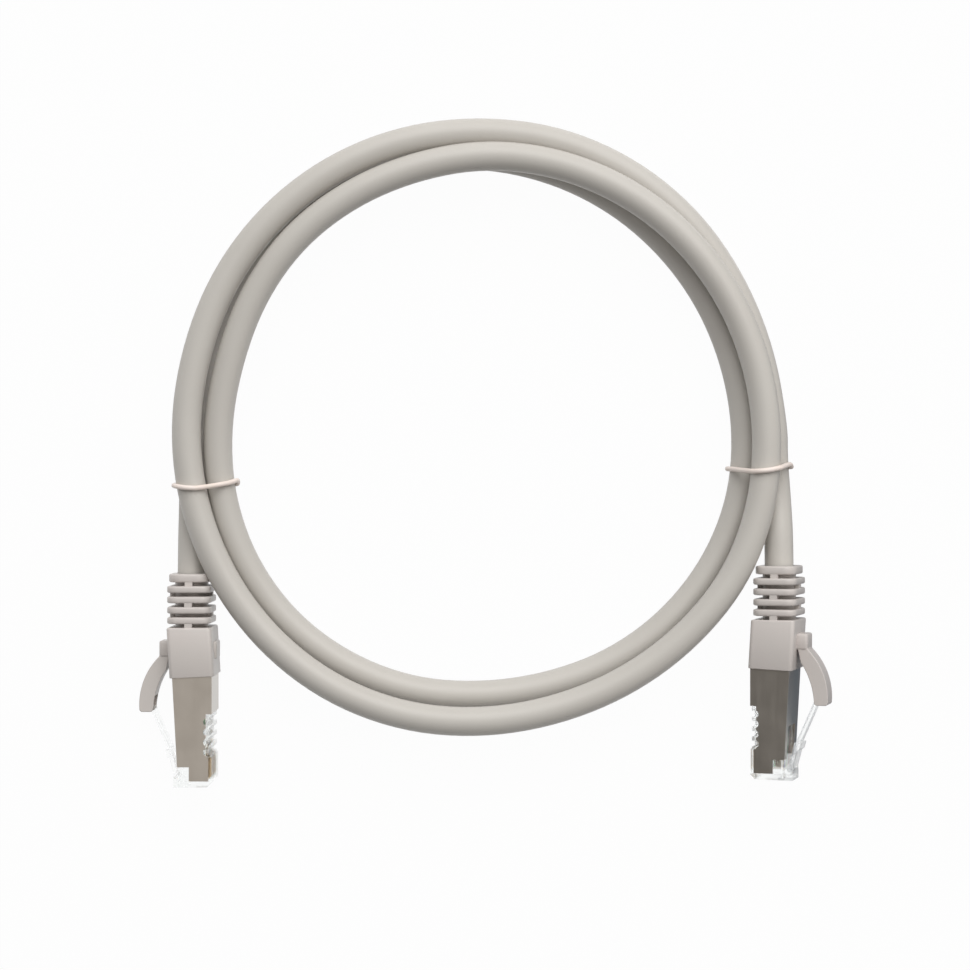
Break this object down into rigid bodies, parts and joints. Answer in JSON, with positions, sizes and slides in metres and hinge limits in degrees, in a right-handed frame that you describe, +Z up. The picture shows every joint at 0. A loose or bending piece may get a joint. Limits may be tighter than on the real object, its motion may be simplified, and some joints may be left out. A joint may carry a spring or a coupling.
{
  "type": "network patch cable",
  "caption": "Round shielded patch cable, coiled and tied, with a clear-nosed metal-shielded modular plug, ribbed boot, latch and latch lever at each end.",
  "frame": {"origin": "centre of the bounding box at its base, on the table that the coil lies on", "axes": "+X across the coil from plug A's side to plug B's side, +Y away from the plugs' noses, +Z up from the table"},
  "size_m": [0.1392, 0.135, 0.0145],
  "materials": {
    "jacket": "satin soft PVC",
    "boot": "satin moulded PVC",
    "clear_plastic": "clear, polished",
    "guide_plastic": "clear, polished",
    "shield_metal": "satin nickel plate",
    "contact_gold": "gold plate",
    "foil": "foil",
    "tinned_wire": "tinned",
    "tie": "matt",
    "insulation_1": "plain",
    "insulation_2": "plain",
    "insulation_3": "plain",
    "insulation_4": "plain",
    "insulation_5": "plain",
    "insulation_6": "plain",
    "insulation_7": "plain",
    "insulation_8": "plain"
  },
  "bodies": {
    "root": {"plug_a_housing": "clear_plastic", "plug_a_shield": "shield_metal", "plug_a_wire_guide": "guide_plastic", "plug_a_boot": "boot", "plug_a_contact_1": "contact_gold", "plug_a_contact_2": "contact_gold", "plug_a_contact_3": "contact_gold", "plug_a_contact_4": "contact_gold", "plug_a_contact_5": "contact_gold", "plug_a_contact_6": "contact_gold", "plug_a_contact_7": "contact_gold", "plug_a_contact_8": "contact_gold", "plug_b_housing": "clear_plastic", "plug_b_shield": "shield_metal", "plug_b_wire_guide": "guide_plastic", "plug_b_boot": "boot", "plug_b_contact_1": "contact_gold", "plug_b_contact_2": "contact_gold", "plug_b_contact_3": "contact_gold", "plug_b_contact_4": "contact_gold", "plug_b_contact_5": "contact_gold", "plug_b_contact_6": "contact_gold", "plug_b_contact_7": "contact_gold", "plug_b_contact_8": "contact_gold", "cable_tail_a": "jacket", "cable_tail_b": "jacket", "cable_coil": "jacket", "foil_screen": "foil", "drain_wire": "tinned_wire", "wire_1": "insulation_1", "wire_2": "insulation_2", "wire_3": "insulation_3", "wire_4": "insulation_4", "wire_5": "insulation_5", "wire_6": "insulation_6", "wire_7": "insulation_7", "wire_8": "insulation_8", "tie_left": "tie", "tie_right": "tie"},
    "latch_a": {"plug_a_latch": "clear_plastic"},
    "lever_a": {"plug_a_boot_lever": "boot"},
    "latch_b": {"plug_b_latch": "clear_plastic"},
    "lever_b": {"plug_b_boot_lever": "boot"}
  },
  "joints": [
    {"name": "lever_a_press", "type": "hinge", "parent": "root", "child": "lever_a", "pos_m": [-0.06462, -0.04119, 0.00625], "axis": [0, 0, 1], "range_deg": [0, 14], "stiffness_Nm_per_rad": 0.12},
    {"name": "latch_a_press", "type": "hinge", "parent": "root", "child": "latch_a", "pos_m": [-0.06212, -0.06519, 0.00625], "axis": [0, 0, -1], "range_deg": [0, 14]},
    {"name": "lever_b_press", "type": "hinge", "parent": "root", "child": "lever_b", "pos_m": [0.06408, -0.03959, 0.00908], "axis": [0.3256, 0, -0.9455], "range_deg": [0, 14], "stiffness_Nm_per_rad": 0.12},
    {"name": "latch_b_press", "type": "hinge", "parent": "root", "child": "latch_b", "pos_m": [0.06171, -0.06359, 0.00826], "axis": [-0.3256, 0, 0.9455], "range_deg": [0, 14]}
  ],
  "couplings": [
    {"joint": "latch_a_press", "follows": "lever_a_press", "ratio": 0.81},
    {"joint": "latch_b_press", "follows": "lever_b_press", "ratio": 0.81}
  ]
}
